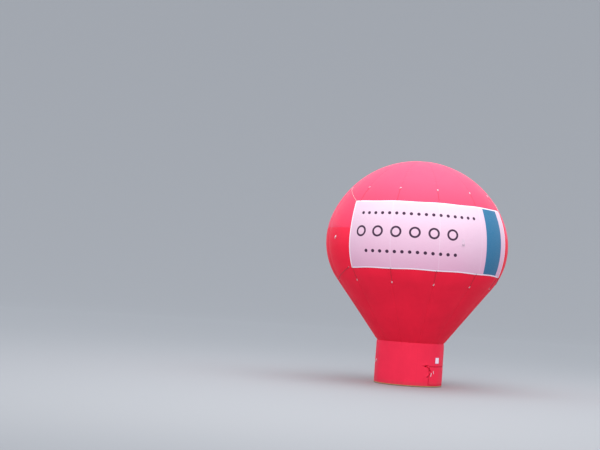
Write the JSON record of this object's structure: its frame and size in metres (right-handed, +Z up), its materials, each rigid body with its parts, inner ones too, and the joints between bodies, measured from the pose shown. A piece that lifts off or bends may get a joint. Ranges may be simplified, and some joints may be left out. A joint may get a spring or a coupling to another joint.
{
  "type": "ground-standing inflatable advertising balloon",
  "caption": "Blower-fed fabric advertising balloon in hot-air-balloon shape: a gored ball on a cone and a drum base, with a blank banner over its front.",
  "frame": {"origin": "centre of the drum base's underside, on the ground", "axes": "+Z up along the balloon's axis, -Y towards the street, where the banner hangs, +Y towards the fan"},
  "size_m": [5, 5.0033, 6.15],
  "materials": {
    "envelope": "coated polyester balloon cloth, pinkish red, satin sheen, sewn in gores",
    "banner": "thin white banner cloth, matt, the red behind it shows through",
    "ground_sheet": "heavy dark coated cloth with a khaki edge",
    "webbing": "flat woven polyester webbing, sewn down with a box stitch",
    "label": "blank white film pocket",
    "steel": "zinc-plated wire",
    "fan_paint": "dark grey powder coat, slightly worn at its edges",
    "fan_plastic": "black moulded nylon, lightly grained"
  },
  "bodies": {
    "envelope": {"upper_gore_01": "envelope", "upper_gore_02": "envelope", "upper_gore_03": "envelope", "upper_gore_04": "envelope", "upper_gore_05": "envelope", "upper_gore_06": "envelope", "upper_gore_07": "envelope", "upper_gore_08": "envelope", "upper_gore_09": "envelope", "upper_gore_10": "envelope", "upper_gore_11": "envelope", "upper_gore_12": "envelope", "lower_gore_01": "envelope", "lower_gore_02": "envelope", "lower_gore_03": "envelope", "lower_gore_04": "envelope", "lower_gore_05": "envelope", "lower_gore_06": "envelope", "lower_gore_07": "envelope", "lower_gore_08": "envelope", "lower_gore_09": "envelope", "lower_gore_10": "envelope", "lower_gore_11": "envelope", "lower_gore_12": "envelope", "crown_cap": "envelope", "drum_panel_right": "envelope", "drum_panel_back": "envelope", "drum_panel_left": "envelope", "ground_sheet": "ground_sheet", "banner": "banner", "blank_label": "label", "equator_front_left_patch": "webbing", "equator_front_right_patch": "webbing", "equator_back_right_patch": "webbing", "equator_back_left_patch": "webbing", "drum_left_patch": "webbing", "drum_right_patch": "webbing", "fan_sleeve": "envelope", "sleeve_strap": "webbing", "fan_duct": "fan_paint", "fan_motor": "fan_paint", "fan_guard": "steel", "fan_stand": "fan_paint", "fan_switch_box": "fan_plastic"},
    "access_flap": {"access_flap": "envelope"},
    "fan_impeller": {"fan_impeller": "fan_plastic"},
    "equator_front_left_ring": {"equator_front_left_ring": "steel"},
    "equator_front_right_ring": {"equator_front_right_ring": "steel"},
    "equator_back_right_ring": {"equator_back_right_ring": "steel"},
    "equator_back_left_ring": {"equator_back_left_ring": "steel"},
    "drum_left_ring": {"drum_left_ring": "steel"},
    "drum_right_ring": {"drum_right_ring": "steel"}
  },
  "joints": [
    {"name": "access_flap_hinge", "type": "hinge", "parent": "envelope", "child": "access_flap", "pos_m": [0.92294, -0.03223, 0.285], "axis": [0, 0, 1], "range_deg": [0, 100]},
    {"name": "fan_impeller_spin", "type": "hinge", "parent": "envelope", "child": "fan_impeller", "pos_m": [0, 1.255, 0.27], "axis": [0, 1, 0], "continuous": true},
    {"name": "equator_front_left_ring_swing", "type": "hinge", "parent": "envelope", "child": "equator_front_left_ring", "pos_m": [-2.17814, -1.25755, 3.88624], "axis": [-0.5, 0.866, 0], "range_deg": [-3, 150]},
    {"name": "equator_front_right_ring_swing", "type": "hinge", "parent": "envelope", "child": "equator_front_right_ring", "pos_m": [1.2592, -2.18099, 3.8865], "axis": [-0.866, -0.5, 0], "range_deg": [-3, 150]},
    {"name": "equator_back_right_ring_swing", "type": "hinge", "parent": "envelope", "child": "equator_back_right_ring", "pos_m": [2.17814, 1.25755, 3.88624], "axis": [0.5, -0.866, 0], "range_deg": [-3, 150]},
    {"name": "equator_back_left_ring_swing", "type": "hinge", "parent": "envelope", "child": "equator_back_left_ring", "pos_m": [-1.25755, 2.17814, 3.88624], "axis": [0.866, 0.5, 0], "range_deg": [-3, 150]},
    {"name": "drum_left_ring_swing", "type": "hinge", "parent": "envelope", "child": "drum_left_ring", "pos_m": [-0.8987, -0.2408, 0.61], "axis": [-0.2588, 0.9659, 0], "range_deg": [-3, 150]},
    {"name": "drum_right_ring_swing", "type": "hinge", "parent": "envelope", "child": "drum_right_ring", "pos_m": [0.9413, 0, 0.61], "axis": [0, -1, 0], "range_deg": [-3, 150]}
  ]
}
